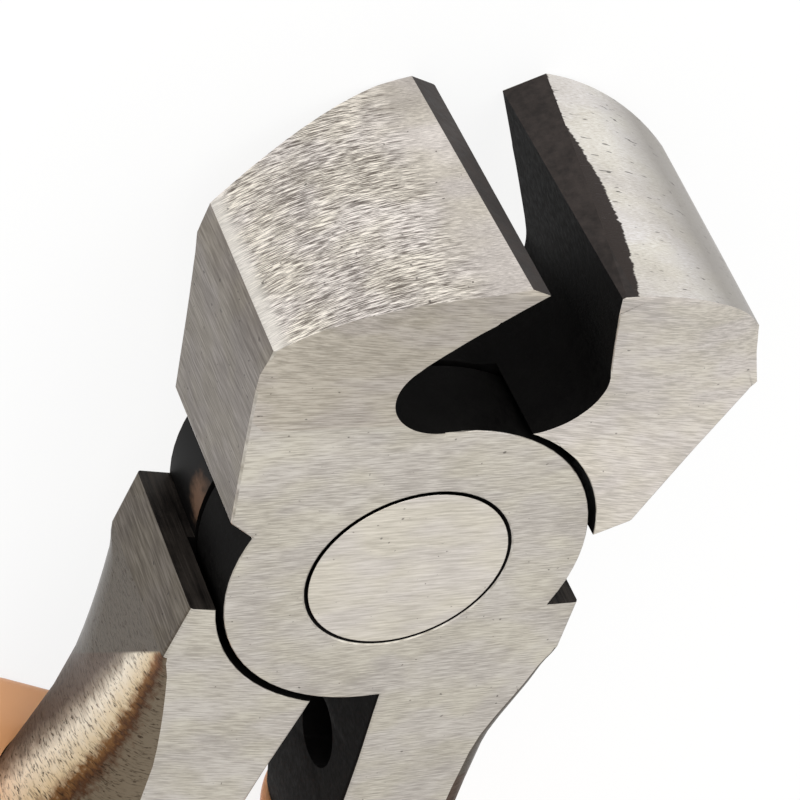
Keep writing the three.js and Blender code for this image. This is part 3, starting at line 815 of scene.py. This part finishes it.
def closed_skin(name, rings):
    """Quads between neighbouring rings, and one face over each end."""
    rows, count = rings.shape[:2]
    a = np.arange(rows - 1)[:, None] * count + np.arange(count)[None, :]
    b = np.arange(rows - 1)[:, None] * count + (np.arange(count)[None, :] + 1) % count
    quads = np.stack([a, b, b + count, a + count], axis=2).reshape(-1, 4)
    ends = [list(range(count))[::-1], list(range((rows - 1) * count, rows * count))]
    mesh = bpy.data.meshes.new(name)
    mesh.from_pydata(rings.reshape(-1, 3) * MM, [], [*quads.tolist(), *ends])
    work = bmesh.new()
    work.from_mesh(mesh)
    bmesh.ops.remove_doubles(work, verts=work.verts, dist=1e-7)
    bmesh.ops.recalc_face_normals(work, faces=work.faces)
    work.to_mesh(mesh)
    work.free()
    piece = bpy.data.objects.new(name, mesh)
    bpy.context.collection.objects.link(piece)
    return piece


for side, body, handle in (("right", "front", RIGHT_HANDLE), ("left", "rear", LEFT_HANDLE)):
    rings = sleeve_grid(handle, MOUTH[side])
    placed = from_own(rings.reshape(-1, 3), body).reshape(rings.shape)
    sleeve = closed_skin(side + "_grip_dipped", placed)
    sleeve.data.materials.append(vinyl)
    sleeve.data.shade_smooth()
    sleeve.data.set_sharp_from_angle(angle=math.radians(SLEEVE_SHARP_DEGREES))
    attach(sleeve, body)
    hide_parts(side + "_grip")
    print(sleeve.name, len(sleeve.data.polygons), "faces")

# %% [markdown]
# ## Floor
#
# The photograph has a plain white ground and the even light of a tent. The floor is white paper, which
# a studio lights until it is white. Here it glows at white for the camera and for reflections, and it keeps
# part of its own shading, so the tool's shadow stays.

# %% Floor
FLOOR_HALF = 3.0                # metres
GLOW_SHARE = 0.86
REST_LEVEL = cad_box[0][2]
corners = np.array([(-1, -1), (1, -1), (1, 1), (-1, 1)]) * FLOOR_HALF
paper_mesh = bpy.data.meshes.new("paper_floor")
paper_mesh.from_pydata([(*corner, REST_LEVEL) for corner in corners], [], [(0, 1, 2, 3)])
paper_floor = bpy.data.objects.new("paper_floor", paper_mesh)
bpy.context.collection.objects.link(paper_floor)


def shows(tree):
    """1 for camera, glossy and transmission rays, 0 for the rays that carry light."""
    path = add(tree, "ShaderNodeLightPath")
    some = add(tree, "ShaderNodeMath", {"operation": "MAXIMUM"}, _0=(path, "Is Camera Ray"),
               _1=(path, "Is Glossy Ray"))
    return add(tree, "ShaderNodeMath", {"operation": "MAXIMUM"}, _0=(some, "Value"),
               _1=(path, "Is Transmission Ray"))


paper, tree, shader = start("white_paper", Roughness=0.9, Base_Color=linear("#f2f2f0"))
glow = add(tree, "ShaderNodeEmission", Color=(1, 1, 1, 1), Strength=1.0)
share = add(tree, "ShaderNodeMath", {"operation": "MULTIPLY"}, _0=(shows(tree), "Value"), _1=GLOW_SHARE)
mixed = add(tree, "ShaderNodeMixShader", _0=(share, "Value"), _1=(shader, "BSDF"), _2=(glow, "Emission"))
feed(tree, tree.nodes["Material Output"], Surface=(mixed, "Shader"))
paper_mesh.materials.append(paper)
print("floor at", round(REST_LEVEL / MM, 2), "mm")

# %% [markdown]
# ## Tent and lamps
#
# The world is a tent that is brighter overhead than at its rim, which is what shapes the steel. Three wide
# softboxes add direction: one overhead, one before the jaws and one low at the left, which reaches the
# sleeve's mouth past the head. Small lamps would give hard white spots on ground steel, so each is about as
# wide as it is far away.

# %% Tent and lamps
RIM_LEVEL, TOP_LEVEL = 0.75, 0.92
world = bpy.data.worlds.new("light_tent")
bpy.context.scene.world = world
world.use_nodes = True
tree = world.node_tree
sky = add(tree, "ShaderNodeTexCoord")
parts = add(tree, "ShaderNodeSeparateXYZ", Vector=(sky, "Generated"))
level = add(tree, "ShaderNodeMapRange", Value=(parts, "Z"), From_Min=0.0, From_Max=0.8,
            To_Min=RIM_LEVEL, To_Max=TOP_LEVEL)
feed(tree, tree.nodes["Background"], Color=linear("#ffffff"), Strength=(level, "Result"))


def softbox(name, place_mm, target_mm, size_mm, watts):
    """A square area lamp that faces its target."""
    lamp = bpy.data.lights.new(name, "AREA")
    lamp.size = size_mm * MM
    lamp.energy = watts
    holder = bpy.data.objects.new(name, lamp)
    bpy.context.collection.objects.link(holder)
    place = Vector(place_mm) * MM
    aim = Vector(target_mm) * MM - place
    holder.matrix_world = Matrix.Translation(place) @ aim.to_track_quat("-Z", "Y").to_matrix().to_4x4()


softbox("overhead_softbox", (120, -60, 320), (0, -10, 0), 260, 0.15)
softbox("jaw_side_softbox", (60, 260, 160), (0, 5, 3), 300, 0.3)
softbox("low_side_softbox", (-170, 190, 90), (-10, -20, 3), 300, 0.3)
print("lamps", [each.name for each in bpy.data.lights])

# %% [markdown]
# ## Finish
#
# The Standard view shows colours as their hex values were chosen.

# %% Finish
bpy.context.scene.view_settings.view_transform = "Standard"
